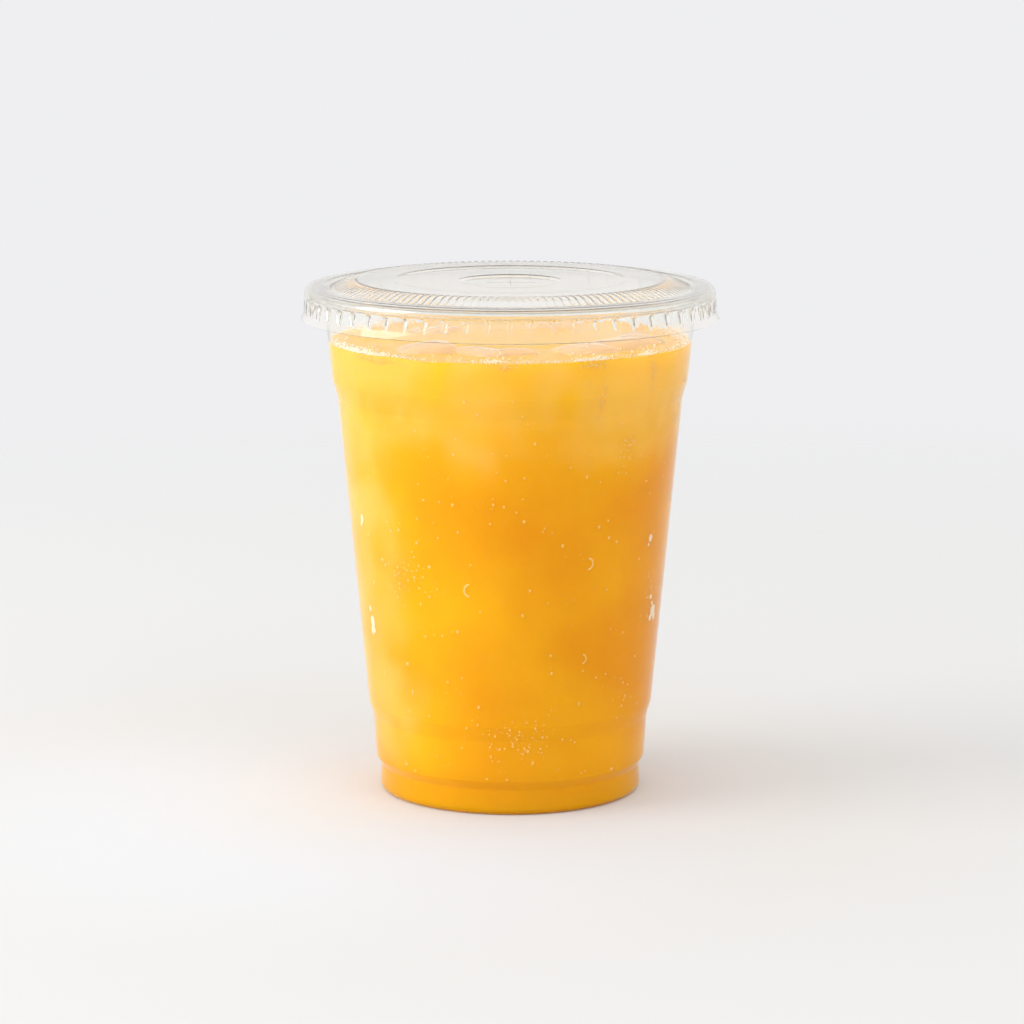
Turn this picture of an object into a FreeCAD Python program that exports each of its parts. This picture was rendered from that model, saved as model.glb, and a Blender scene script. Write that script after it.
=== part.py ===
import FreeCAD, Part
import math
import os

# Clear plastic take-away cup with a push-on flat lid, filled with an iced fruit drink.
# Millimetres, +Z up. The cup stands on the plane z = 0 with its axis on the Z axis.

# --- cup, measured on the outside of its wall ---
cup_height = 124.4            # standing plane to the top of the rolled rim
cup_wall = 0.5                # sheet thickness, the same all over
base_recess = 2.2             # the base panel is pushed up by this much
base_wall_run = 0.6           # run of the slanted wall round the base panel
contact_ring_width = 2.3      # flat ring that the cup stands on
foot_radius = 32.3            # widest place of the foot
foot_edge_rounding = 1.7
foot_waist_inset = 0.5        # the foot narrows to its waist by this much
foot_waist_height = 6.3
foot_ledge_width = 1.35       # step out of the waist
foot_ledge_height = 2.1
band_length = 10.2            # lower band, between the foot ledge and the stacking ledge
band_flare = 0.065            # growth of the radius per unit of height
stack_ledge_width = 1.1       # lower stacking ledge
stack_ledge_height = 3.6
wall_flare = 0.0952           # main wall
lip_ledge_width = 1.35        # upper stacking ledge
lip_ledge_height = 4.9
lip_ledge_below_top = 26.9    # foot of the upper ledge, down from the rim's top
lip_flare = 0.095             # band above the upper ledge
ledge_rounding = 1.6

# --- rolled rim ---
rim_width = 4.0               # from the mouth to the outside of the roll
rim_height = 2.6
rim_rounding = 1.3

# --- drink ---
level_below_top = 13.1        # from the rim's top down to the surface of the drink

# --- lid, measured on its top side ---
lid_sheet = 0.4
lid_seat_gap = 0.1            # between the lid and the top of the rolled rim
lid_side_gap = 0.6            # between the skirt and the outside of the roll
skirt_length = 7.9            # from the top of the bead down to the free edge
skirt_flare_width = 0.8       # the free edge turns out by this much
skirt_flare_height = 1.5
skirt_lean = 0.1              # the skirt widens this much on its way down
shoulder_rounding = 1.9
bead_inner_rounding = 0.9
groove_inset = 0.9            # bottom of the groove, inside the rim's mouth
groove_drop = 0.75            # below the top of the bead
cone_run = 5.0                # ribbed cone, from the groove in to the deck
deck_rise = 1.35              # the deck stands this much above the bead
cone_rounding = 9.0
disc_radius = 27.6            # sunk disc in the middle of the deck
disc_step = 0.4
dimple_radius = 12.3          # straw dimple in the middle of the disc
dimple_depth = 0.5
step_run = 0.5                # run of the small slanted steps
small_rounding = 0.4
slit_length = 13.0            # crossed slits for the straw
slit_width = 0.25

# --- ribs of the lid ---
lug_count = 60                # gripping lugs inside the skirt
lug_length = 2.5
lug_top_width = 1.3
lug_depth = 0.55
lug_below_bead = 2.9          # top of a lug, down from the top of the bead
rib_count = 136               # fine ribs on the cone
rib_width = 0.55
rib_height = 0.16
rib_run = 6.5                 # plan length of a rib
rib_from_groove = 0.6         # its outer end, in from the bottom of the groove

# --- drawing the shapes ---
full_turn = 360.0
straight = 1e-6               # turns (radians) and lengths under this count as nothing
sink = 0.1                    # a rib starts this deep in the sheet, so that it fuses


def rounded_path(corners):
    """Edges of a line through corners (radius, height, rounding) with an arc at each one."""
    points = [FreeCAD.Vector(radius, 0, height) for radius, height, rounding in corners]
    edges = []
    here = points[0]
    for before, point, after, corner in zip(points, points[1:], points[2:], corners[1:]):
        way_in = (point - before).normalize()
        way_out = (after - point).normalize()
        turn = way_in.getAngle(way_out)
        if corner[2] <= 0 or turn < straight:
            continue
        setback = corner[2] * math.tan(turn / 2)
        start = point - way_in * setback
        end = point + way_out * setback
        to_centre = (way_out - way_in).normalize()
        middle = point + to_centre * (corner[2] / math.cos(turn / 2) - corner[2])
        if here.distanceToPoint(start) > straight:
            edges.append(Part.makeLine(here, start))
        edges.append(Part.Arc(start, middle, end).toShape())
        here = end
    edges.append(Part.makeLine(here, points[-1]))
    return edges


def shifted(corners, distance):
    """The same line moved to its left by distance; arcs keep their centres."""
    points = [FreeCAD.Vector(radius, 0, height) for radius, height, rounding in corners]
    normals = []
    for start, end in zip(points, points[1:]):
        way = (end - start).normalize()
        normals.append(FreeCAD.Vector(-way.z, 0, way.x))
    moved = []
    for index, corner in enumerate(corners):
        first = normals[max(index - 1, 0)]
        second = normals[min(index, len(normals) - 1)]
        turn = first.getAngle(second)
        left_turn = first.cross(second).y < 0
        shift = (first + second).normalize() * (distance / math.cos(turn / 2))
        rounding = corner[2] - distance if left_turn else corner[2] + distance
        point = points[index] + shift
        moved.append((point.x, point.z, max(rounding, 0) if corner[2] > 0 else 0))
    return moved


def turned(edges):
    """Solid of revolution about the Z axis from the edges of a closed outline."""
    face = Part.Face(Part.Wire(Part.__sortEdges__(edges)))
    solid = face.revolve(FreeCAD.Vector(0, 0, 0), FreeCAD.Vector(0, 0, 1), full_turn)
    return Part.Solid(solid) if solid.ShapeType == "Shell" else solid


def sheet_of_revolution(corners, distance):
    """Thin shell between a line and the same line moved by distance."""
    moved = shifted(corners, distance)
    near = rounded_path(corners)
    far = rounded_path(moved)
    ends = [Part.makeLine(FreeCAD.Vector(line[0], 0, line[1]), FreeCAD.Vector(other[0], 0, other[1]))
            for line, other in ((corners[0], moved[0]), (corners[-1], moved[-1]))]
    return turned(near + far + ends)


def cut_at_height(corners, height):
    """The part of a rising line below a height, ending on that height."""
    kept = [corners[0]]
    for corner in corners[1:]:
        if corner[1] >= height:
            below = kept[-1]
            share = (height - below[1]) / (corner[1] - below[1])
            kept.append((below[0] + share * (corner[0] - below[0]), height, 0))
            return kept
        kept.append(corner)
    return kept


def around(shape, count):
    """Copies of a shape evenly spaced about the Z axis."""
    copies = []
    for index in range(count):
        copy = shape.copy()
        copy.rotate(FreeCAD.Vector(0, 0, 0), FreeCAD.Vector(0, 0, 1), full_turn * index / count)
        copies.append(copy)
    return copies


# --- places worked out from the sizes ---
waist_radius = foot_radius - foot_waist_inset
band_start = waist_radius + foot_ledge_width
band_foot = foot_waist_height + foot_ledge_height
band_top = band_foot + band_length
band_end = band_start + band_flare * band_length
wall_foot = band_top + stack_ledge_height
wall_start = band_end + stack_ledge_width
wall_top = cup_height - lip_ledge_below_top
wall_end = wall_start + wall_flare * (wall_top - wall_foot)
lip_foot = wall_top + lip_ledge_height
lip_start = wall_end + lip_ledge_width
mouth_radius = lip_start + lip_flare * (cup_height - lip_foot) - cup_wall
rim_radius = mouth_radius + rim_width
drink_level = cup_height - level_below_top

bead_top = cup_height + lid_seat_gap + lid_sheet
skirt_radius = rim_radius + lid_side_gap + lid_sheet
groove_radius = mouth_radius - groove_inset
groove_height = bead_top - groove_drop
deck_height = bead_top + deck_rise
deck_radius = groove_radius - cone_run
disc_height = deck_height - disc_step
dimple_height = disc_height - dimple_depth


def cup_outline():
    """Outer side of the cup's wall, from the middle of the base to the end of the roll."""
    contact_radius = foot_radius - foot_edge_rounding - contact_ring_width
    roll_outside = rim_radius - cup_wall
    roll_top = cup_height - cup_wall
    roll_bottom = cup_height - rim_height + cup_wall
    roll_rounding = rim_rounding - cup_wall
    return [
        (0, base_recess, 0),
        (contact_radius - base_wall_run, base_recess, small_rounding),
        (contact_radius, 0, cup_wall + small_rounding),
        (foot_radius, 0, foot_edge_rounding),
        (waist_radius, foot_waist_height, small_rounding),
        (band_start, band_foot, cup_wall + small_rounding),
        (band_end, band_top, ledge_rounding),
        (wall_start, wall_foot, ledge_rounding),
        (wall_end, wall_top, ledge_rounding),
        (lip_start, lip_foot, ledge_rounding),
        (mouth_radius + cup_wall, roll_top, roll_rounding),
        (roll_outside, roll_top, roll_rounding),
        (roll_outside, roll_bottom, roll_rounding),
        (roll_outside - rim_width / 2, roll_bottom, 0),
    ]


def make_cup():
    return sheet_of_revolution(cup_outline(), cup_wall)


def make_drink():
    """The drink fills the cup up to its level and lies against the wall."""
    inside = cut_at_height(shifted(cup_outline(), cup_wall), drink_level)
    top_radius = inside[-1][0]
    surface = Part.makeLine(FreeCAD.Vector(top_radius, 0, drink_level), FreeCAD.Vector(0, 0, drink_level))
    axis = Part.makeLine(FreeCAD.Vector(0, 0, drink_level), FreeCAD.Vector(0, 0, inside[0][1]))
    return turned(rounded_path(inside) + [surface, axis])


def lid_outline():
    """Top side of the lid, from its middle to the free edge of the skirt."""
    skirt_foot = bead_top - skirt_length + skirt_flare_height
    return [
        (0, dimple_height, 0),
        (dimple_radius - step_run, dimple_height, small_rounding),
        (dimple_radius, disc_height, small_rounding + lid_sheet),
        (disc_radius, disc_height, small_rounding),
        (disc_radius + step_run, deck_height, small_rounding + lid_sheet),
        (deck_radius, deck_height, cone_rounding),
        (groove_radius, groove_height, small_rounding),
        (groove_radius + groove_inset, bead_top, bead_inner_rounding),
        (skirt_radius, bead_top, shoulder_rounding),
        (skirt_radius + skirt_lean, skirt_foot, small_rounding + lid_sheet),
        (skirt_radius + skirt_lean + skirt_flare_width, bead_top - skirt_length, 0),
    ]


def make_lug():
    """Gripping lug: an inward tooth of the skirt, wide under the bead and pointed below."""
    top = bead_top - lug_below_bead
    outside = skirt_radius - lid_sheet / 2
    inside = skirt_radius - lid_sheet - lug_depth
    left = FreeCAD.Vector(outside, -lug_top_width / 2, top)
    right = FreeCAD.Vector(outside, lug_top_width / 2, top)
    inner = FreeCAD.Vector(inside, 0, top)
    point = FreeCAD.Vector(outside, 0, top - lug_length)
    faces = [Part.Face(Part.makePolygon([first, second, third, first]))
             for first, second, third in ((left, inner, right), (left, point, inner),
                                          (inner, point, right), (right, point, left))]
    return Part.Solid(Part.Shell(faces))


def cone_line(lift):
    """Line that climbs the cone onto the deck, this far above the sheet's top side."""
    outer = groove_radius - rib_from_groove
    drop = (deck_height - groove_height) * (outer - deck_radius) / cone_run
    return rounded_path([(outer, deck_height - drop + lift, 0),
                         (deck_radius, deck_height + lift, cone_rounding),
                         (outer - rib_run, deck_height + lift, 0)])


def make_rib():
    """Fine rib that climbs the cone and follows its rounding onto the deck."""
    upper = cone_line(rib_height)
    lower = cone_line(-sink)
    ends = [Part.makeLine(upper[0].Vertexes[0].Point, lower[0].Vertexes[0].Point),
            Part.makeLine(upper[-1].Vertexes[-1].Point, lower[-1].Vertexes[-1].Point)]
    side = Part.Face(Part.Wire(Part.__sortEdges__(upper + lower + ends)))
    side.translate(FreeCAD.Vector(0, -rib_width / 2, 0))
    return side.extrude(FreeCAD.Vector(0, rib_width, 0))


def make_lid():
    lid = sheet_of_revolution(lid_outline(), -lid_sheet)
    lid = lid.fuse(around(make_lug(), lug_count) + around(make_rib(), rib_count))
    slit = Part.makeBox(slit_length, slit_width, dimple_depth + lid_sheet,
                        FreeCAD.Vector(-slit_length / 2, -slit_width / 2, dimple_height - lid_sheet))
    for index in range(2):
        slit.rotate(FreeCAD.Vector(0, 0, 0), FreeCAD.Vector(0, 0, 1), full_turn / 4 * index)
        lid = lid.cut(slit)
    return lid.Solids[0] if len(lid.Solids) == 1 else lid


pieces = {"cup": make_cup, "drink": make_drink, "lid": make_lid}

if __name__ == "__main__":
    os.makedirs("parts", exist_ok=True)
    for node, make in pieces.items():
        shape = make()
        shape.exportStep("parts/" + node + ".step")
        box = shape.optimalBoundingBox(False)
        print(node, shape.ShapeType, len(shape.Solids), "valid", shape.isValid(),
              "volume", round(shape.Volume), "faces", len(shape.Faces),
              "x", round(box.XMin, 2), round(box.XMax, 2), "z", round(box.ZMin, 2), round(box.ZMax, 2))
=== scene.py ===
import bpy
import math
import random
import numpy as np
from mathutils import Matrix, Vector, noise


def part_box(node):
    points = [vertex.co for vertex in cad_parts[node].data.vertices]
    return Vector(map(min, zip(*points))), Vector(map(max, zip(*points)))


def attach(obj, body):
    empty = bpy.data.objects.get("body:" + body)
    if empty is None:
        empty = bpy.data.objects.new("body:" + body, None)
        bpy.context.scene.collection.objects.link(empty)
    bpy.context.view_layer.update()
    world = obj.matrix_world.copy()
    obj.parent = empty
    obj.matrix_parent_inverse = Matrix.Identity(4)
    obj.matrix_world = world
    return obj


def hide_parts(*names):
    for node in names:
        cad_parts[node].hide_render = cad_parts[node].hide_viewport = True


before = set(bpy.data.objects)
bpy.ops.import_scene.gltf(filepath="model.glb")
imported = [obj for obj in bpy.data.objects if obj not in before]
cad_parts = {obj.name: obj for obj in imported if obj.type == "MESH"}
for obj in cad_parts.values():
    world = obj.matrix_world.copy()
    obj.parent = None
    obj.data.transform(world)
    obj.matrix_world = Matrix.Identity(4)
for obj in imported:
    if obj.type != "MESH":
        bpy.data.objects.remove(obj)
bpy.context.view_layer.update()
mm = 0.001
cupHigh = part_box("cup")[1]
lidLow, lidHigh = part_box("lid")
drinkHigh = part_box("drink")[1]
print("frame loaded, cup", round(cupHigh.z / mm, 1), "mm tall, drink level at", round(drinkHigh.z / mm, 1), "mm")


def linearColour(hexText):
    values = [int(hexText[i:i + 2], 16) / 255 for i in (1, 3, 5)]
    return tuple(v / 12.92 if v <= 0.04045 else ((v + 0.055) / 1.055) ** 2.4 for v in values) + (1.0,)


def addNode(tree, kind, settings=None, links=None):
    node = tree.nodes.new(kind)
    for key, value in (settings or {}).items():
        if isinstance(key, int) or key in node.inputs:
            node.inputs[key].default_value = value
        else:
            setattr(node, key, value)
    for key, source in (links or {}).items():
        tree.links.new(source, node.inputs[key])
    return node


def deselectAll():
    if bpy.context.object and bpy.context.object.mode != "OBJECT":
        bpy.ops.object.mode_set(mode="OBJECT")
    bpy.ops.object.select_all(action="DESELECT")


def makeActive(piece):
    deselectAll()
    piece.select_set(True)
    bpy.context.view_layer.objects.active = piece


def pointsOf(piece):
    places = np.zeros(len(piece.data.vertices) * 3)
    piece.data.vertices.foreach_get("co", places)
    return places.reshape(-1, 3)


def selectPoints(piece, chosen):  # picks points by a list of yes and no, then opens edit mode
    bpy.ops.object.mode_set(mode="OBJECT")
    mesh = piece.data
    mesh.polygons.foreach_set("select", np.zeros(len(mesh.polygons), bool))
    mesh.edges.foreach_set("select", np.zeros(len(mesh.edges), bool))
    mesh.vertices.foreach_set("select", np.asarray(chosen, bool))
    bpy.ops.object.mode_set(mode="EDIT")
    bpy.ops.mesh.select_mode(type="VERT")


def rowsBetween(start, end, count):  # plain points on a straight stretch of a profile
    rows = []
    for number in range(1, count + 1):
        far, high = (start[k] + (end[k] - start[k]) * number / (count + 1) for k in (0, 1))
        rows.append((far, high, 0, 1))
    return rows


def shiftLine(corners, distance):  # the same profile moved to its left, in mm
    points = [Vector((c[0], c[1])) for c in corners]
    sides = [Vector((a.y - b.y, b.x - a.x)).normalized() for a, b in zip(points, points[1:])]
    moved = []
    for i, corner in enumerate(corners):
        first, second = sides[max(i - 1, 0)], sides[min(i, len(sides) - 1)]
        bend = first.angle(second, 0)
        leftTurn = first.x * second.y - first.y * second.x > 0
        place = points[i] + (first + second).normalized() * distance / math.cos(bend / 2)
        rounding = corner[2] + (-distance if leftTurn else distance) if corner[2] > 0 else 0
        moved.append((place.x, place.y, max(rounding, 0), corner[3]))
    return moved


def drawProfile(name, corners):
    # corners are (radius, height, rounding, segments) in mm: extruded point by point, then bevelled
    deselectAll()
    bpy.ops.mesh.primitive_plane_add(size=mm, location=(0, 0, 0))
    piece = bpy.context.object
    piece.name = piece.data.name = name
    bpy.ops.object.mode_set(mode="EDIT")
    bpy.ops.mesh.select_all(action="SELECT")
    bpy.ops.mesh.merge(type="CENTER")
    here = Vector((0, 0, 0))
    for step, corner in enumerate(corners):
        there = Vector((corner[0] * mm, 0, corner[1] * mm))
        if step == 0:
            bpy.ops.transform.translate(value=there - here)
        else:
            bpy.ops.mesh.extrude_region_move(TRANSFORM_OT_translate={"value": there - here})
        here = there
    for before, corner, after in zip(corners, corners[1:], corners[2:]):
        if corner[2] <= 0:
            continue
        point = Vector(corner[:2])
        turn = (point - Vector(before[:2])).angle(Vector(after[:2]) - point)
        bpy.ops.object.mode_set(mode="OBJECT")
        places = pointsOf(piece)
        nearest = np.argmin(np.abs(places - np.array((point.x, 0, point.y)) * mm).sum(1))
        selectPoints(piece, np.arange(len(places)) == nearest)
        bpy.ops.mesh.bevel(offset=corner[2] * math.tan(turn / 2) * mm, affect="VERTICES", profile=0.5,
                           segments=corner[3], clamp_overlap=True)
    bpy.ops.object.mode_set(mode="OBJECT")
    return piece


def spinRound(piece, steps):  # the profile turns once round the cup's axis
    makeActive(piece)
    bpy.ops.object.mode_set(mode="EDIT")
    bpy.ops.mesh.select_all(action="SELECT")
    bpy.ops.mesh.spin(steps=steps, angle=math.tau, center=(0, 0, 0), axis=(0, 0, 1))
    bpy.ops.mesh.select_all(action="SELECT")
    bpy.ops.mesh.remove_doubles(threshold=0.002 * mm)
    bpy.ops.mesh.normals_make_consistent(inside=False)
    bpy.ops.object.mode_set(mode="OBJECT")
    return piece


def giveThickness(piece, thickness):  # the sheet grows inwards, so the line drawn stays its outer side
    makeActive(piece)
    solid = piece.modifiers.new("sheet", "SOLIDIFY")
    solid.thickness = thickness * mm
    solid.offset = -1
    solid.use_even_offset = True
    solid.use_quality_normals = True
    bpy.ops.object.modifier_apply(modifier="sheet")


def smoothed(piece, degrees=40):
    makeActive(piece)
    bpy.ops.object.shade_smooth_by_angle(angle=math.radians(degrees))


def roundPlaces(piece):  # radius in mm, angle in degrees from the front, height in mm
    places = pointsOf(piece) / mm
    radius = np.hypot(places[:, 0], places[:, 1])
    return radius, np.degrees(np.arctan2(places[:, 0], -places[:, 1])), places[:, 2]


def blend(low, high, values):  # a soft step from 0 at low to 1 at high
    share = np.clip((values - low) / (high - low), 0, 1)
    return share * share * (3 - 2 * share)


def copiesJoined(name, base, places):
    # places are (centre, three sizes, the way the copy faces); the base shape is copied to each one
    shape = pointsOf(base)
    faces = [list(p.vertices) for p in base.data.polygons]
    allPoints, allFaces = [], []
    for number, (centre, size, facing) in enumerate(places):
        turn = np.array(Vector(facing).to_track_quat("Z", "Y").to_matrix())
        allPoints.append((shape * np.array(size)) @ turn.T + np.array(centre))
        allFaces += [[v + number * len(shape) for v in face] for face in faces]
    mesh = bpy.data.meshes.new(name)
    mesh.from_pydata(np.concatenate(allPoints).tolist(), [], allFaces)
    mesh.polygons.foreach_set("use_smooth", np.ones(len(mesh.polygons), bool))
    piece = bpy.data.objects.new(name, mesh)
    bpy.context.scene.collection.objects.link(piece)
    return piece


def dropPiece(piece):  # takes away a base shape once its copies are made
    mesh = piece.data
    bpy.data.objects.remove(piece)
    bpy.data.meshes.remove(mesh)


# cup: one thin sheet with a pushed-up base, two stacking ledges and a rolled rim
# line is (radius, height, rounding), roll is the same measured from the rim's outer top edge, all in mm
cupShape = {
    "wall": 0.5, "turnSteps": 288, "bendSteps": 5, "rollSteps": 8,
    "line": [(0, 2.2, 0), (27.7, 2.2, 0.4), (28.3, 0, 0.9), (32.3, 0, 1.7), (31.8, 6.3, 0.4),
             (33.15, 8.4, 0.9), (33.81, 18.6, 1.6), (34.91, 22.2, 1.6), (42.08, 97.5, 1.6), (43.43, 102.4, 1.6)],
    "roll": [(-3.5, -0.5, 0.79), (-0.5, -0.5, 0.79), (-0.5, -2.1, 0.79), (-2.5, -2.1, 0)]}
cupLine = [corner + (cupShape["bendSteps"],) for corner in cupShape["line"]]
cupLine += [(cupHigh.x / mm + inset, cupHigh.z / mm + drop, rounding, cupShape["rollSteps"])
            for inset, drop, rounding in cupShape["roll"]]
cup = spinRound(drawProfile("clearCup", cupLine), cupShape["turnSteps"])
bpy.ops.object.mode_set(mode="EDIT")
bpy.ops.mesh.flip_normals()  # an open bowl comes out facing in
bpy.ops.object.mode_set(mode="OBJECT")
giveThickness(cup, cupShape["wall"])
smoothed(cup)
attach(cup, "root")
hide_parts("cup")
print("cup made,", len(cup.data.polygons), "faces")


# lid: one thin sheet, with the ribs and gripping lugs pressed into it
# heights are from the deck's top, and the outer stretch is measured from the free edge, all in mm;
# the plain points on the flat stretches keep the shading of the steps beside them clean
lidShape = {
    "sheet": 0.4, "columnsPerRib": 4, "ribs": 135, "ribRise": 0.16, "ribSink": 0.1,
    "ribInner": 37.6, "ribOuter": 43.75, "ribFloor": -2,
    "middle": [(0, -0.9, 0, 1), (10.9, -0.9, 0, 1), (11.6, -0.9, 0.6, 4), (12.5, -0.4, 0.9, 4), (13.3, -0.4, 0, 1),
               (26.6, -0.4, 0, 1), (27.4, -0.4, 0.8, 4), (28.3, 0, 1.1, 4), (29.2, 0, 0, 1), (36.2, 0, 0, 1),
               (39.12, 0, 9, 8)],
    "cone": ((40.9, -0.75), (43.8, -1.966), 4), "groove": [(44.12, -2.1, 0.4, 4), (45.02, -1.35, 0.9, 6)],
    "bead": (-0.9, -1.35, 1.9, 12), "skirt": ((-0.9, -3.2), (-0.8, -7.7), 13), "flare": (-0.8, -7.75, 0.8, 3),
    "edgeLift": 0.19, "skirtInside": 49, "skirtMiddle": -0.85,
    "lugs": 60, "lugTop": -4.3, "lugLength": 3.3, "lugDepth": 0.95, "lugHalf": 1.7, "lugEase": 0.13,
    "lugTaper": 0.7, "lugFade": 0.85}
lidTop, lidEdge = lidHigh.z / mm - lidShape["ribRise"], lidHigh.x / mm
coneStart, coneEnd, coneRows = lidShape["cone"]
skirtStart, skirtEnd, skirtRows = lidShape["skirt"]
lidLine = [(r, lidTop + drop, rounding, steps) for r, drop, rounding, steps in lidShape["middle"]]
lidLine += rowsBetween((coneStart[0], lidTop + coneStart[1]), (coneEnd[0], lidTop + coneEnd[1]), coneRows)
lidLine += [(r, lidTop + drop, rounding, steps) for r, drop, rounding, steps in lidShape["groove"]]
lidLine += [(lidEdge + lidShape["bead"][0], lidTop + lidShape["bead"][1]) + lidShape["bead"][2:]]
lidLine += rowsBetween((lidEdge + skirtStart[0], lidTop + skirtStart[1]),
                       (lidEdge + skirtEnd[0], lidTop + skirtEnd[1]), skirtRows)
lidLine += [(lidEdge + lidShape["flare"][0], lidTop + lidShape["flare"][1]) + lidShape["flare"][2:],
            (lidEdge, lidLow.z / mm + lidShape["edgeLift"], 0, 1)]
columns = lidShape["columnsPerRib"] * lidShape["ribs"]
lid = spinRound(drawProfile("clearLid", lidLine), columns)
radius, angle, height = roundPlaces(lid)
column = np.round(angle / 360 * columns).astype(int)
onCone = (radius > lidShape["ribInner"]) & (radius < lidShape["ribOuter"]) & (height > lidTop + lidShape["ribFloor"])
for phases, rise in (((1, 2), lidShape["ribRise"]), ((0, 3), -lidShape["ribSink"])):
    selectPoints(lid, onCone & np.isin(column % lidShape["columnsPerRib"], phases))
    bpy.ops.transform.translate(value=(0, 0, rise * mm))
perLug = columns // lidShape["lugs"]
fromLug = np.minimum(column % perLug, perLug - column % perLug)  # columns from the middle of the nearest lug
lugTop = lidTop + lidShape["lugTop"]
lugFoot = lugTop - lidShape["lugLength"]
onSkirt = radius > lidShape["skirtInside"]
for row in sorted({round(z, 3) for z in height[onSkirt] if lugFoot < z < lugTop}):
    down = (lugTop - row) / lidShape["lugLength"]  # each lug is a dent shaped like a V, deepest near its top
    half = lidShape["lugHalf"] * (1 - lidShape["lugTaper"] * down)
    for side in (0, 1, 2):
        depth = (lidShape["lugDepth"] * min(down / lidShape["lugEase"], 1) * (1 - lidShape["lugFade"] * down)
                 * max(1 - side / half, 0))
        selectPoints(lid, (np.abs(height - row) < 0.01) & onSkirt & (fromLug == side))
        grow = 1 - depth / (lidEdge + lidShape["skirtMiddle"])
        bpy.ops.transform.resize(value=(grow, grow, 1), center_override=(0, 0, 0))
giveThickness(lid, lidShape["sheet"])
smoothed(lid)
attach(lid, "root")
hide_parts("lid")
print("lid made,", len(lid.data.polygons), "faces")


# crossed straw slits cut through the dimple
slitShape = {"length": 13, "width": 0.28, "proud": 0.02, "edge": 0.12}
deselectAll()
bpy.ops.mesh.primitive_cube_add(size=1, location=(0, 0, 0))
slitBase = bpy.context.object
bpy.ops.object.mode_set(mode="EDIT")
bpy.ops.mesh.select_all(action="SELECT")
bpy.ops.mesh.bevel(offset=slitShape["edge"], affect="EDGES", segments=2)
bpy.ops.object.mode_set(mode="OBJECT")
slitTall = lidShape["sheet"] + slitShape["proud"]
dimpleFloor = lidTop + lidShape["middle"][0][1]
slitMiddle = (0, 0, (dimpleFloor + slitShape["proud"] - slitTall / 2) * mm)
slitSizes = [(slitShape["length"] * mm, slitShape["width"] * mm, slitTall * mm),
             (slitShape["width"] * mm, slitShape["length"] * mm, slitTall * mm)]
slits = copiesJoined("strawSlits", slitBase, [(slitMiddle, size, (0, 0, 1)) for size in slitSizes])
dropPiece(slitBase)
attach(slits, "root")
print("slits made,", len(slits.data.polygons), "faces")


# drink: a closed body whose side lies just inside the outer face of the clear wall, all in mm
drinkShape = {"reach": 0.3, "rowStep": 1.0, "turnSteps": 400, "surfaceStep": 1.0, "longStretch": 8,
              "lowGap": 2, "highGap": 2.5, "lip": 0.1, "meniscus": 0.12, "lipWidth": 0.5, "flatFrom": 0.6,
              "wave": 0.26, "waveLength": 12, "ripple": 0.4, "rippleLength": 3.1, "calmEdge": 2.5,
              "rimWave": 0.45, "rimWaveLength": 13, "rimWaveDown": 3, "rimWaveIn": 4}
level = drinkHigh.z / mm
inside = shiftLine(cupLine[:len(cupShape["line"]) + 1], drinkShape["reach"])
drinkLine = []
for start, end in zip(inside, inside[1:]):
    drinkLine.append(start)
    if end[1] - start[1] > drinkShape["longStretch"]:
        low, top = start[1] + drinkShape["lowGap"], min(end[1] - drinkShape["highGap"], level - 1)
        ends = [(start[0] + (h - start[1]) / (end[1] - start[1]) * (end[0] - start[0]), h) for h in (low, top)]
        drinkLine += rowsBetween(ends[0], ends[1], int((top - low) / drinkShape["rowStep"]))
drinkEdge = drinkLine[-1][0]
drinkLine += [(drinkEdge + drinkShape["lip"], level + drinkShape["meniscus"], 0, 1),
              (drinkEdge - drinkShape["lipWidth"], level + drinkShape["lip"], 0, 1)]
drinkLine += rowsBetween((drinkEdge - drinkShape["flatFrom"], level), (0, level),
                         int(drinkEdge / drinkShape["surfaceStep"]))
drinkLine += [(0, level, 0, 1)]
drink = spinRound(drawProfile("fruitDrink", drinkLine), drinkShape["turnSteps"])

# ice cubes as (angle from the front, height, depth of the middle behind the wall, half size), in degrees and mm;
# lenses are cubes seen edge on, as (angle, height, half width, half height)
# the cubes at -67 to -70 degrees, down the left side, only pale the drink there: painted light
iceShape = {
    "round": 4.5, "near": 11, "far": 0.0, "patchy": 4.5, "patchLength": 7, "strength": 0.62,
    "rimAt": 3.2, "rimWidth": 1.4, "lensGlow": 1.8, "tilt": 14, "lean": 0.095,
    "front": [(-46, 107.5, 10.5, 9.5), (42, 103, 11.5, 9.5), (64, 103, 12, 9), (-4, 108, 14.5, 10),
              (-16, 100, 13.5, 8), (-70, 90, 12.5, 9), (-70, 72, 13, 10), (-68, 50, 13, 9.5), (-67, 28, 12, 9)],
    "lenses": [(-42, 88, 9.5, 7.5), (-46, 101.5, 9, 4.5)],
    "backCubes": 9, "backFrom": 85, "backStep": 23, "backTop": 107, "backDrop": 12}
random.seed(41)
cubes = list(iceShape["front"])
for number in range(iceShape["backCubes"]):
    cubes.append((iceShape["backFrom"] + number * iceShape["backStep"] + random.uniform(-6, 6),
                  iceShape["backTop"] - (number % 3) * iceShape["backDrop"] + random.uniform(-2, 2),
                  random.uniform(11, 14), random.uniform(8.5, 10.5)))
iceFrames = []
for turn, tall, deep, half in cubes:
    far = (drinkEdge - iceShape["lean"] * (level - tall)) - deep
    centre = Vector((far * math.sin(math.radians(turn)), -far * math.cos(math.radians(turn)), tall))
    facing = Vector((centre.x, centre.y, random.uniform(-iceShape["tilt"], iceShape["tilt"]))).normalized()
    iceFrames.append((centre, facing, half, random.uniform(0, 90)))


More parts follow.
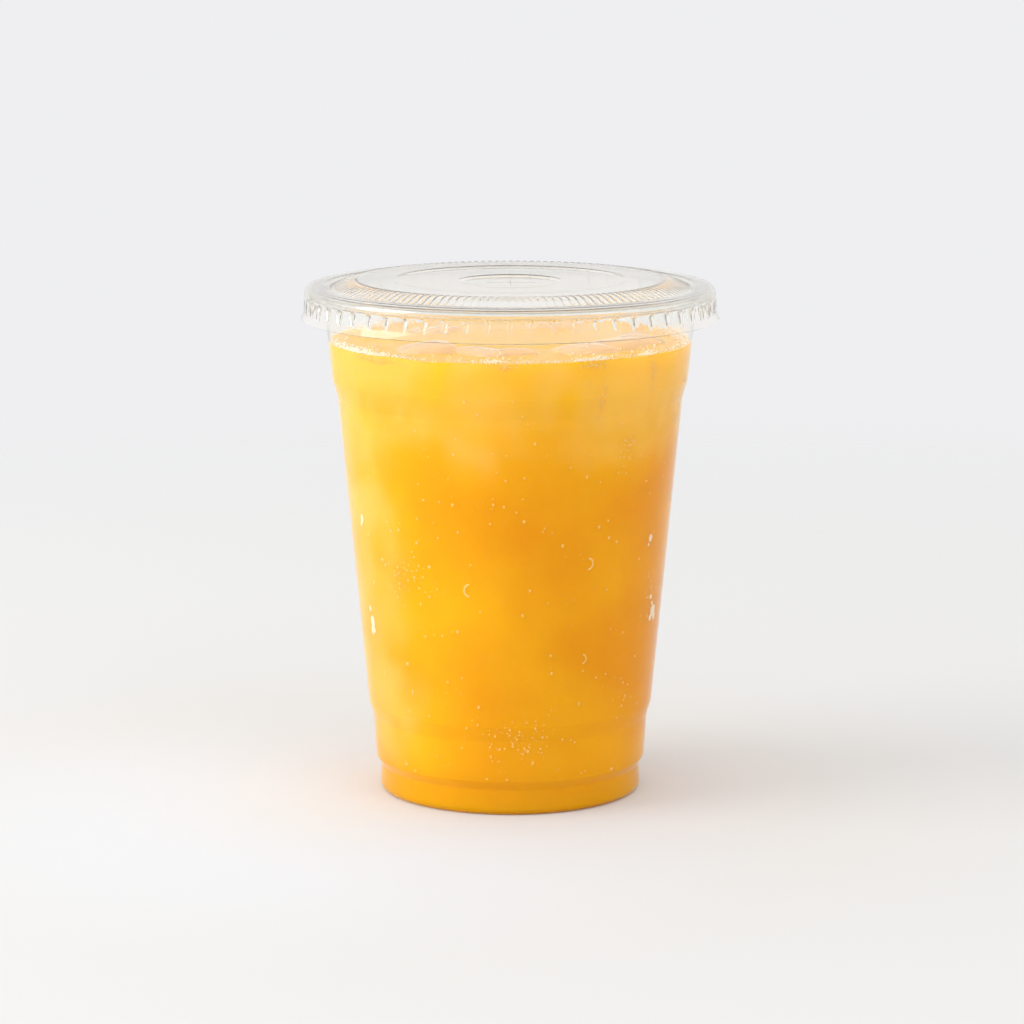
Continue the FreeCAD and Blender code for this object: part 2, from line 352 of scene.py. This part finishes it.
def roundedBoxDistance(places, centre, facing, half, twist):  # how far points are from a rounded cube
    axes = (facing.to_track_quat("Z", "Y").to_matrix() @ Matrix.Rotation(math.radians(twist), 3, "Z"))
    local = np.abs((places - np.array(centre)) @ np.array(axes)) - (half - iceShape["round"])
    outside = np.sqrt((np.maximum(local, 0) ** 2).sum(1))
    return outside + np.minimum(local.max(1), 0) - iceShape["round"]


def addWeights(piece, name, values):
    layer = piece.data.attributes.new(name, "FLOAT", "POINT")
    layer.data.foreach_set("value", np.asarray(values, np.float32))


def softNoise(places, length, shift=(0, 0, 0)):
    return np.array([noise.noise(Vector(p) / length + Vector(shift)) for p in places])


places = pointsOf(drink) / mm
fromAxis = np.hypot(places[:, 0], places[:, 1])
turns = np.arctan2(places[:, 0], -places[:, 1])
gap = np.full(len(places), 99.0)  # distance to the nearest cube
iceOutlineAndShade = np.zeros(len(places))
for centre, facing, half, twist in iceFrames:
    cubeGap = roundedBoxDistance(places, centre, facing, half, twist)
    gap = np.minimum(gap, cubeGap)
    low = np.clip((centre.z - places[:, 2]) / half * 0.8 + 0.25, 0.1, 1)  # painted shade: the outline is darkest along a cube's lower edges
    iceOutlineAndShade = np.maximum(iceOutlineAndShade, np.exp(-((cubeGap - iceShape["rimAt"]) / iceShape["rimWidth"]) ** 2) * low)
# lenses are darker discs, darkest at their lower side, as painted shade
for turn, tall, wide, high in iceShape["lenses"]:
    along = (turns - math.radians(turn)) * drinkEdge / wide
    up = (places[:, 2] - tall) / high
    disc = blend(1.2, 0.75, np.hypot(along, up)) * np.clip(0.55 - up * 0.6, 0.2, 1) * (fromAxis > drinkEdge / 2)
    iceOutlineAndShade = np.maximum(iceOutlineAndShade, disc * iceShape["lensGlow"])
patchy = softNoise(places, iceShape["patchLength"], (3, 1, 5))
paleNearIceAndLeftLight = blend(iceShape["near"], iceShape["far"], gap - patchy * iceShape["patchy"]) * iceShape["strength"]
onSurface = (places[:, 2] > level - 0.1) & (fromAxis < drinkEdge - 0.4)
surface = places[onSurface]
waves = (softNoise(surface, drinkShape["waveLength"])
         + drinkShape["ripple"] * softNoise(surface, drinkShape["rippleLength"]))
calm = np.clip((drinkEdge - fromAxis[onSurface]) / drinkShape["calmEdge"], 0, 1)
moved = places.copy()
moved[onSurface, 2] += waves * calm * drinkShape["wave"]
edgeWave = softNoise(places * (1, 1, 0), drinkShape["rimWaveLength"])
nearRim = (blend(level - drinkShape["rimWaveDown"], level, places[:, 2])
           * (fromAxis > drinkEdge - drinkShape["rimWaveIn"]))
moved[:, 2] += edgeWave * drinkShape["rimWave"] * nearRim
drink.data.vertices.foreach_set("co", (moved * mm).ravel())
addWeights(drink, "paleNearIceAndLeftLight", paleNearIceAndLeftLight)
addWeights(drink, "iceOutlineAndShade", iceOutlineAndShade)
smoothed(drink)
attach(drink, "root")
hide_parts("drink")
print("drink made,", len(drink.data.polygons), "faces")


# ice breaking the surface: the cubes nearest the top, lifted so that their worn corners show
iceTop = {"rise": 2.6, "within": 4, "inward": (1.5, 6), "shrink": 0.92, "tilt": 0.2, "softness": 3}
deselectAll()
bpy.ops.mesh.primitive_cube_add(size=2, location=(0, 0, 0))
iceBase = bpy.context.object
bpy.ops.object.mode_set(mode="EDIT")
bpy.ops.mesh.select_all(action="SELECT")
bpy.ops.mesh.subdivide(number_cuts=1)
bpy.ops.object.mode_set(mode="OBJECT")
worn = iceBase.modifiers.new("worn", "SUBSURF")
worn.levels = worn.render_levels = iceTop["softness"]
bpy.ops.object.modifier_apply(modifier="worn")
iceList = []
for centre, facing, half, twist in iceFrames:
    if centre.z + half > level - iceTop["within"]:
        lift = level + iceTop["rise"] * random.uniform(0.5, 1) - (centre.z + half)
        inward = Vector((centre.x, centre.y, 0)).normalized() * random.uniform(*iceTop["inward"])
        lean = (random.uniform(-iceTop["tilt"], iceTop["tilt"]), random.uniform(-iceTop["tilt"], iceTop["tilt"]), 1)
        iceList.append(((centre + Vector((0, 0, lift)) - inward) * mm, [half * mm * iceTop["shrink"]] * 3, lean))
ice = copiesJoined("iceCubes", iceBase, iceList)
dropPiece(iceBase)
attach(ice, "root")
print("ice made,", len(ice.data.polygons), "faces")


# froth: fine bubbles crowding along the waterline, in patches of (angle, half width, share), in degrees and mm
frothShape = {
    "count": 3000, "small": 0.09, "large": 0.29, "spread": 1.0, "climb": 0.55, "stray": 0.12, "touching": 0.8,
    "patches": [(-56, 18, 5.5), (-5, 5, 3.0), (27, 7, 4.0), (49, 4, 3.5), (104, 22, 3.0), (168, 16, 4.0),
                (-138, 20, 4.0)]}
deselectAll()
bpy.ops.mesh.primitive_uv_sphere_add(segments=8, ring_count=5, radius=1, location=(0, 0, 0))
bubbleBase = bpy.context.object
weights = [share * width for middle, width, share in frothShape["patches"]]
frothList = []
for number in range(frothShape["count"]):
    if random.random() < frothShape["stray"]:
        turn = random.uniform(-180, 180)
    else:
        middle, width, share = random.choices(frothShape["patches"], weights)[0]
        turn = random.gauss(middle, width * 0.55)
    size = frothShape["small"] + (frothShape["large"] - frothShape["small"]) * random.random() ** 2.4
    inward = size + 0.05 + random.expovariate(1 / frothShape["spread"])
    tall = level + 0.15 + random.uniform(-0.15, 0.15)
    if inward < frothShape["touching"]:  # these cling to the wall above the drink
        inward, tall = size + 0.05, tall + random.expovariate(1 / frothShape["climb"])
    far = drinkEdge - 0.25 - inward
    centre = (far * math.sin(math.radians(turn)) * mm, -far * math.cos(math.radians(turn)) * mm, tall * mm)
    frothList.append((centre, [size * mm] * 3, (0, 0, 1)))
froth = copiesJoined("surfaceFroth", bubbleBase, frothList)
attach(froth, "root")
print("froth made,", len(froth.data.polygons), "faces")


# bubbles pressed flat against the wall: droplets and placed ones are (angle, height, half width, half height),
# swarms are (angle, height, spread in angle, spread in height, count), crescents are (angle, height, size, side)
wallBubbles = {
    "deep": 0.24, "thick": 0.085, "fine": 1500, "small": 0.07, "large": 0.34, "lean": 0.0952, "lowest": 9,
    "swarmSmall": 0.08, "swarmMore": 0.2,
    "droplets": [(-65.2, 70.0, 0.8, 1.1), (-66.2, 68.6, 0.5, 0.7), (-64.4, 44.4, 1.1, 1.6),
                 (-65.2, 42.2, 0.8, 1.1), (-63.4, 42.4, 0.5, 0.7), (-65.5, 47.6, 0.6, 0.8),
                 (68.8, 46.8, 1.6, 1.5), (66.6, 45.2, 0.8, 0.8), (70.6, 45.2, 0.9, 1.0),
                 (67.2, 48.8, 0.6, 0.5), (65.3, 50.6, 0.7, 0.6), (60.4, 65.7, 0.8, 1.0), (59.4, 64.2, 0.4, 0.5)],
    "placed": [(62.5, 67, 0.2, 0.4), (47.8, 43.7, 0.4, 0.22), (-43.2, 36.2, 0.5, 0.55), (-49.5, 10.3, 0.4, 0.45),
               (48.1, 9.2, 0.55, 0.5), (-9.7, 9.3, 0.28, 0.28), (-1.3, 9.2, 0.28, 0.28), (-24.7, 77.5, 0.3, 0.3),
               (-30.9, 77.6, 0.35, 0.35), (-19, 89.2, 0.3, 0.4), (-52.9, 61.1, 0.5, 0.5), (-51.3, 60, 0.35, 0.5),
               (-30, 61.3, 0.4, 0.45), (-30.6, 53.9, 0.3, 0.35), (152, 58, 0.5, 1.2), (-121, 38, 0.6, 0.8),
               (110, 71, 0.4, 0.9), (-160, 66, 0.4, 0.5), (172, 30, 0.5, 0.5)],
    "swarms": [(-42, 58, 11, 5, 60), (30.5, 102, 1.6, 7, 60), (43, 89, 6, 4.5, 50), (51, 107, 1.5, 4, 70),
               (4, 19, 17, 5.5, 110), (64, 52, 5, 6, 60), (-45, 110.3, 11, 0.7, 110), (-2, 110.6, 4, 0.5, 40),
               (27, 110.4, 6, 0.7, 70), (50, 28, 5, 9, 30), (140, 55, 20, 20, 80), (-120, 60, 22, 24, 90),
               (178, 95, 15, 9, 70)],
    "crescents": [(-14.8, 56.2, 1.25, 1), (28.9, 62.1, 1.2, -1), (28.5, 38.6, 0.95, -1), (-140, 44, 1.2, 1),
                  (125, 80, 1.1, -1)]}


def wallRadius(tall):  # outer radius of the cup at a height
    pairs = list(zip(cupLine[3:], cupLine[4:11]))
    for low, high in pairs:
        if low[1] <= tall <= high[1]:
            return low[0] + (high[0] - low[0]) * (tall - low[1]) / (high[1] - low[1])
    return cupLine[3][0]


def onWall(turn, tall, deep):  # a place in the wall, and the way out of it
    far = wallRadius(tall) - deep
    out = (math.sin(math.radians(turn)), -math.cos(math.radians(turn)))
    return Vector((far * out[0] * mm, far * out[1] * mm, tall * mm)), Vector((out[0], out[1], -wallBubbles["lean"]))


def flatBubbles(places):
    found = []
    for turn, tall, wide, high in places:
        centre, out = onWall(turn, tall, wallBubbles["deep"])
        found.append((centre, (wide * mm, high * mm, wallBubbles["thick"] * mm), out))
    return found


deselectAll()
bpy.ops.mesh.primitive_ico_sphere_add(subdivisions=3, radius=1, location=(0, 0, 0))
dropletBase = bpy.context.object
droplets = copiesJoined("wallDroplets", dropletBase, flatBubbles(wallBubbles["droplets"]))
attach(droplets, "root")
dropPiece(dropletBase)
bubbleList = flatBubbles(wallBubbles["placed"])
for turn, tall, spreadTurn, spreadTall, count in wallBubbles["swarms"]:
    for number in range(count):
        high = min(max(random.gauss(tall, spreadTall * 0.5), wallBubbles["lowest"]), level - 0.3)
        around = random.gauss(turn, spreadTurn * 0.5)
        size = wallBubbles["swarmSmall"] + wallBubbles["swarmMore"] * random.random() ** 2.5
        bubbleList += flatBubbles([(around, high, size, size * random.uniform(1, 1.5))])
for number in range(wallBubbles["fine"]):
    around = random.uniform(-180, 180)
    high = random.uniform(wallBubbles["lowest"], level - 1)
    size = wallBubbles["small"] + (wallBubbles["large"] - wallBubbles["small"]) * random.random() ** 4
    bubbleList += flatBubbles([(around, high, size, size * random.uniform(1, 1.6))])
specks = copiesJoined("wallBubbles", bubbleBase, bubbleList)
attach(specks, "root")
dropPiece(bubbleBase)

# larger bubbles show as half a ring of light
crescentShape = {"tube": 0.17, "tall": 1.15, "flat": 0.6, "deeper": 0.02, "cutAt": 0.2}
deselectAll()
bpy.ops.mesh.primitive_torus_add(major_segments=20, minor_segments=6, major_radius=1,
                                 minor_radius=crescentShape["tube"], location=(0, 0, 0))
crescentBase = bpy.context.object
selectPoints(crescentBase, pointsOf(crescentBase)[:, 0] > crescentShape["cutAt"])
bpy.ops.mesh.delete(type="VERT")
bpy.ops.object.mode_set(mode="OBJECT")
crescentList = []
for turn, tall, size, side in wallBubbles["crescents"]:
    centre, out = onWall(turn, tall, wallBubbles["deep"] + crescentShape["deeper"])
    wide = side * size * mm  # side turns a crescent half round
    crescentList.append((centre, (wide, wide * crescentShape["tall"], crescentShape["flat"] * mm), out))
crescents = copiesJoined("bubbleCrescents", crescentBase, crescentList)
dropPiece(crescentBase)
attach(crescents, "root")
print("bubbles made,", len(specks.data.polygons), "faces")


def newMaterial(name):
    material = bpy.data.materials.new(name)
    material.use_nodes = True
    material.node_tree.nodes.clear()
    return material, material.node_tree


def wear(piece, material):
    piece.data.materials.clear()
    piece.data.materials.append(material)


def clearSolid(name, tint, roughness, ior, clearness):  # sheet or ice that lamps shine through
    material, tree = newMaterial(name)
    sheet = addNode(tree, "ShaderNodeBsdfPrincipled",
                    {"Base Color": linearColour(tint), "Roughness": roughness, "IOR": ior,
                     "Transmission Weight": clearness})
    through = addNode(tree, "ShaderNodeBsdfTransparent", {"Color": linearColour(tint)})
    path = addNode(tree, "ShaderNodeLightPath")
    mix = addNode(tree, "ShaderNodeMixShader", None,
                  {0: path.outputs["Is Shadow Ray"], 1: sheet.outputs[0], 2: through.outputs[0]})
    addNode(tree, "ShaderNodeOutputMaterial", None, {"Surface": mix.outputs[0]})
    return material


# thermoformed PET is drawn thin and very smooth: it gives hard lines of light at its bends and little haze;
# its IOR is lowered from 1.57, most in the cup, where the juice wets the wall and quietens its mirror
wear(cup, clearSolid("clearPetCup", "#FDFEFD", 0.03, 1.27, 1.0))
wear(lid, clearSolid("clearPetLid", "#FEFCF8", 0.04, 1.42, 0.955))

# grain gives drifts of pulp about 26 mm across; heights and sideways places are in metres;
# radius and scale say how far light spreads inside
# painted light: the left side lighter and the top yellower; painted shade: the right side and the foot deeper
juiceLook = {
    "deep": "#F09E00", "light": "#FCBA0A", "cloud": "#FFCB66", "rim": "#EFB000", "top": "#FFC61E", "foot": "#EAA200",
    "grain": 38.0, "grainFrom": 0.38, "grainTo": 0.66, "leftFrom": -0.03, "leftTo": 0.012, "leftPaintedLight": 0.35,
    "rightPaintedShade": -0.22, "topFrom": 0.078, "topTo": 0.112, "topShare": 0.95, "rimShare": 0.42,
    "footFrom": 0.014, "footTo": 0.003, "footShare": 0.75,
    "ior": 1.33, "inner": 0.7, "radius": (1.0, 0.5, 0.08), "scale": 0.01}


def fruitDrinkMaterial(name, gloss, roughness):
    # cloudy orange juice: light spreads inside and softens it; paler near ice; painted light on the left and above,
    # painted shade on the right and at the foot
    look = juiceLook
    material, tree = newMaterial(name)
    place = addNode(tree, "ShaderNodeTexCoord")
    across = addNode(tree, "ShaderNodeSeparateXYZ", None, {0: place.outputs["Object"]})
    cloud = addNode(tree, "ShaderNodeTexNoise", {"Scale": look["grain"], "Detail": 3.0, "Roughness": 0.45},
                    {"Vector": place.outputs["Object"]})
    depth = addNode(tree, "ShaderNodeMapRange",
                    {"From Min": look["grainFrom"], "From Max": look["grainTo"], "To Min": 0.2, "To Max": 0.8},
                    {"Value": cloud.outputs["Fac"]})
    # painted light on the left side and painted shade on the right, added to the tone of the pulp
    side = addNode(tree, "ShaderNodeMapRange",
                   {"interpolation_type": "SMOOTHSTEP", "From Min": look["leftFrom"], "From Max": look["leftTo"],
                    "To Min": look["leftPaintedLight"], "To Max": look["rightPaintedShade"]}, {"Value": across.outputs["X"]})
    pulpAndSideLight = addNode(tree, "ShaderNodeMath", {"operation": "ADD"}, {0: depth.outputs[0], 1: side.outputs[0]})
    tone = addNode(tree, "ShaderNodeMix",
                   {"data_type": "RGBA", 6: linearColour(look["deep"]), 7: linearColour(look["light"])},
                   {0: pulpAndSideLight.outputs[0]})
    # painted light: the drink is made yellower towards the top
    lit = addNode(tree, "ShaderNodeMapRange",
                  {"interpolation_type": "SMOOTHSTEP", "From Min": look["topFrom"], "From Max": look["topTo"],
                   "To Max": look["topShare"]}, {"Value": across.outputs["Z"]})
    upper = addNode(tree, "ShaderNodeMix", {"data_type": "RGBA", 7: linearColour(look["top"])},
                    {0: lit.outputs[0], 6: tone.outputs[2]})
    # paler near ice, partly the ice itself and partly painted light down the left side
    near = addNode(tree, "ShaderNodeAttribute", {"attribute_name": "paleNearIceAndLeftLight"})
    paleIceAndLeftLight = addNode(tree, "ShaderNodeMix", {"data_type": "RGBA", 7: linearColour(look["cloud"])},
                    {0: near.outputs["Fac"], 6: upper.outputs[2]})
    # darker outline round the cubes, with painted shade along their lower edges
    rim = addNode(tree, "ShaderNodeAttribute", {"attribute_name": "iceOutlineAndShade"})
    faint = addNode(tree, "ShaderNodeMath", {"operation": "MULTIPLY", 1: look["rimShare"]}, {0: rim.outputs["Fac"]})
    edged = addNode(tree, "ShaderNodeMix", {"data_type": "RGBA", 7: linearColour(look["rim"])},
                    {0: faint.outputs[0], 6: paleIceAndLeftLight.outputs[2]})
    # painted shade: the drink is made deeper orange towards the foot
    low = addNode(tree, "ShaderNodeMapRange",
                  {"interpolation_type": "SMOOTHSTEP", "From Min": look["footFrom"], "From Max": look["footTo"],
                   "To Max": look["footShare"]}, {"Value": across.outputs["Z"]})
    paintedFootShade = addNode(tree, "ShaderNodeMix", {"data_type": "RGBA", 7: linearColour(look["foot"])},
                      {0: low.outputs[0], 6: edged.outputs[2]})
    juice = addNode(tree, "ShaderNodeBsdfPrincipled",
                    {"Roughness": roughness, "IOR": look["ior"], "Specular IOR Level": gloss,
                     "Subsurface Weight": look["inner"], "Subsurface Scale": look["scale"],
                     "Subsurface Radius": look["radius"]}, {"Base Color": paintedFootShade.outputs[2]})
    juice.subsurface_method = "BURLEY"
    addNode(tree, "ShaderNodeOutputMaterial", None, {"Surface": juice.outputs[0]})
    return material


# the side lies against plastic, so it mirrors nothing itself; the open surface is wet
wear(drink, fruitDrinkMaterial("cloudyFruitDrink", 0.0, 0.3))
drink.data.materials.append(fruitDrinkMaterial("fruitDrinkSurface", 0.36, 0.24))
middles = np.zeros(len(drink.data.polygons) * 3)
drink.data.polygons.foreach_get("center", middles)
middles = middles.reshape(-1, 3) / mm
onTop = (np.hypot(middles[:, 0], middles[:, 1]) < drinkEdge - 0.75) & (middles[:, 2] > level - 2)
drink.data.polygons.foreach_set("material_index", onTop.astype(np.int32))


def wetSurface(name, tint, transmission, roughness, ior, glow):  # glow stands in for light from the drink behind
    material, tree = newMaterial(name)
    body = addNode(tree, "ShaderNodeBsdfPrincipled",
                   {"Base Color": linearColour(tint), "Roughness": roughness, "IOR": ior,
                    "Transmission Weight": transmission,
                    "Emission Color": linearColour(tint), "Emission Strength": glow})
    addNode(tree, "ShaderNodeOutputMaterial", None, {"Surface": body.outputs[0]})
    return material


wear(ice, clearSolid("wetIce", "#FFF4DE", 0.08, 1.31, 0.62))  # half clear ice with air in it, polished by melting
wear(slits, wetSurface("cutPetEdge", "#F4F2EC", 0.4, 0.4, 1.5, 0.0))  # a cut through clear sheet looks frosted
wear(froth, wetSurface("juiceFroth", "#FFF2DC", 0.0, 0.2, 1.33, 0.12))  # fine foam scatters light: pale and soft
wear(droplets, wetSurface("wallDroplets", "#FFE8C4", 0.0, 0.3, 1.33, 0.04))  # wide air pockets look whitish
wear(specks, wetSurface("airBubbles", "#FFD27A", 0.0, 0.25, 1.33, 0.07))  # small air bubbles, paler than the juice
wear(crescents, wetSurface("paintedBubbleHighlights", "#FFD988", 0.0, 0.25, 1.33, 0.08))  # painted highlight: the lit edge of a round bubble
print("materials made")


# floor, light and camera; ring is (angle from the front, glow) of what shiny things mirror, lengths in metres
studio = {
    "paper": "#F0F0EF", "floorSize": 1.6, "fadeFrom": 0.25, "fadeTo": 0.7, "backdrop": "#EFEFF1", "softLevel": 1.08,
    "paintedCoolPaper": "#F2F7FD", "coolCentre": (-0.045, -0.035, 0), "coolFrom": 0.13, "coolTo": 0.03,
    "ring": [(-180, 1.1), (-120, 1.15), (-75, 1.5), (-58, 1.0), (92, 0.95), (120, 1.1), (180, 1.1)]}
deselectAll()
bpy.ops.mesh.primitive_plane_add(size=studio["floorSize"] * 2, location=(0, 0, 0))
floor = bpy.context.object
floor.name = "paperFloor"
material, tree = newMaterial("palePaper")  # matt white card that keeps the shadow and fades into the backdrop
place = addNode(tree, "ShaderNodeTexCoord")
distance = addNode(tree, "ShaderNodeVectorMath", {"operation": "LENGTH"}, {0: place.outputs["Object"]})
fade = addNode(tree, "ShaderNodeMapRange",
               {"interpolation_type": "SMOOTHSTEP", "From Min": studio["fadeFrom"], "From Max": studio["fadeTo"]},
               {"Value": distance.outputs["Value"]})
away = addNode(tree, "ShaderNodeVectorMath", {"operation": "DISTANCE", 1: studio["coolCentre"]},
               {0: place.outputs["Object"]})
paintedCoolTint = addNode(tree, "ShaderNodeMapRange",
               {"interpolation_type": "SMOOTHSTEP", "From Min": studio["coolFrom"], "From Max": studio["coolTo"]},
               {"Value": away.outputs["Value"]})
# painted cool tint: the card is made bluer near the cup, to cancel the warm light that falls from the drink
paper = addNode(tree, "ShaderNodeMix",
                {"data_type": "RGBA", 6: linearColour(studio["paper"]), 7: linearColour(studio["paintedCoolPaper"])},
                {0: paintedCoolTint.outputs[0]})
card = addNode(tree, "ShaderNodeBsdfPrincipled", {"Roughness": 0.9}, {"Base Color": paper.outputs[2]})
clear = addNode(tree, "ShaderNodeBsdfTransparent")
mix = addNode(tree, "ShaderNodeMixShader", None, {0: fade.outputs[0], 1: card.outputs[0], 2: clear.outputs[0]})
addNode(tree, "ShaderNodeOutputMaterial", None, {"Surface": mix.outputs[0]})
wear(floor, material)

world = bpy.data.worlds.new("studioAir")
bpy.context.scene.world = world
world.use_nodes = True
tree = world.node_tree
tree.nodes.clear()
place = addNode(tree, "ShaderNodeTexCoord")
split = addNode(tree, "ShaderNodeSeparateXYZ", None, {0: place.outputs["Generated"]})
front = addNode(tree, "ShaderNodeMath", {"operation": "MULTIPLY", 1: -1.0}, {0: split.outputs["Y"]})
turn = addNode(tree, "ShaderNodeMath", {"operation": "ARCTAN2"}, {0: split.outputs["X"], 1: front.outputs[0]})
share = addNode(tree, "ShaderNodeMapRange", {"From Min": -math.pi, "From Max": math.pi}, {"Value": turn.outputs[0]})
ring = addNode(tree, "ShaderNodeValToRGB", None, {"Fac": share.outputs[0]})
stops = [((degrees + 180) / 360, glow) for degrees, glow in studio["ring"]]
while len(ring.color_ramp.elements) < len(stops):
    ring.color_ramp.elements.new(0.5)
for element, (spot, glow) in zip(ring.color_ramp.elements, stops):
    element.position, element.color = spot, (glow, glow, glow, 1)
path = addNode(tree, "ShaderNodeLightPath")
around = addNode(tree, "ShaderNodeMix", {"data_type": "FLOAT", 2: studio["softLevel"]},
                 {0: path.outputs["Is Glossy Ray"], 3: ring.outputs["Color"]})
glow = addNode(tree, "ShaderNodeBackground", None, {"Strength": around.outputs[0]})
behind = addNode(tree, "ShaderNodeBackground", {"Color": linearColour(studio["backdrop"])})
bounces = addNode(tree, "ShaderNodeMath", {"operation": "ADD"},
                  {0: path.outputs["Diffuse Depth"], 1: path.outputs["Glossy Depth"]})
direct = addNode(tree, "ShaderNodeMath", {"operation": "LESS_THAN", 1: 0.5}, {0: bounces.outputs[0]})
through = addNode(tree, "ShaderNodeMath", {"operation": "MULTIPLY"},
                  {0: path.outputs["Is Transmission Ray"], 1: direct.outputs[0]})
seen = addNode(tree, "ShaderNodeMath", {"operation": "MAXIMUM"},
               {0: path.outputs["Is Camera Ray"], 1: through.outputs[0]})
mix = addNode(tree, "ShaderNodeMixShader", None, {0: seen.outputs[0], 1: glow.outputs[0], 2: behind.outputs[0]})
addNode(tree, "ShaderNodeOutputWorld", None, {"Surface": mix.outputs[0]})


def softLight(name, place, target, size, power, glossy=True):  # a square lamp, in metres and watts
    data = bpy.data.lights.new(name, "AREA")
    data.shape = "RECTANGLE"
    data.size, data.size_y = size, size
    data.energy = power
    lamp = bpy.data.objects.new(name, data)
    lamp.location = place
    lamp.rotation_euler = (Vector(target) - Vector(place)).to_track_quat("-Z", "Y").to_euler()
    lamp.visible_glossy = glossy
    bpy.context.scene.collection.objects.link(lamp)


cupMiddle = (0, 0, 0.06)
softLight("keyLeft", (-1.12, -0.3, 0.47), cupMiddle, 0.8, 6.0)
softLight("frontFill", (0.85, -1.0, 0.4), cupMiddle, 0.9, 2.2, glossy=False)

cameraData = bpy.data.cameras.new("camera")
cameraData.lens, cameraData.sensor_width = 136.8, 36
camera = bpy.data.objects.new("camera", cameraData)
camera.location = (0.00046, -0.941, 0.2364)
camera.rotation_euler = (math.radians(79.89), 0, 0)
bpy.context.scene.collection.objects.link(camera)
bpy.context.scene.camera = camera
bpy.context.scene.view_settings.view_transform = "Standard"

print("studio made")
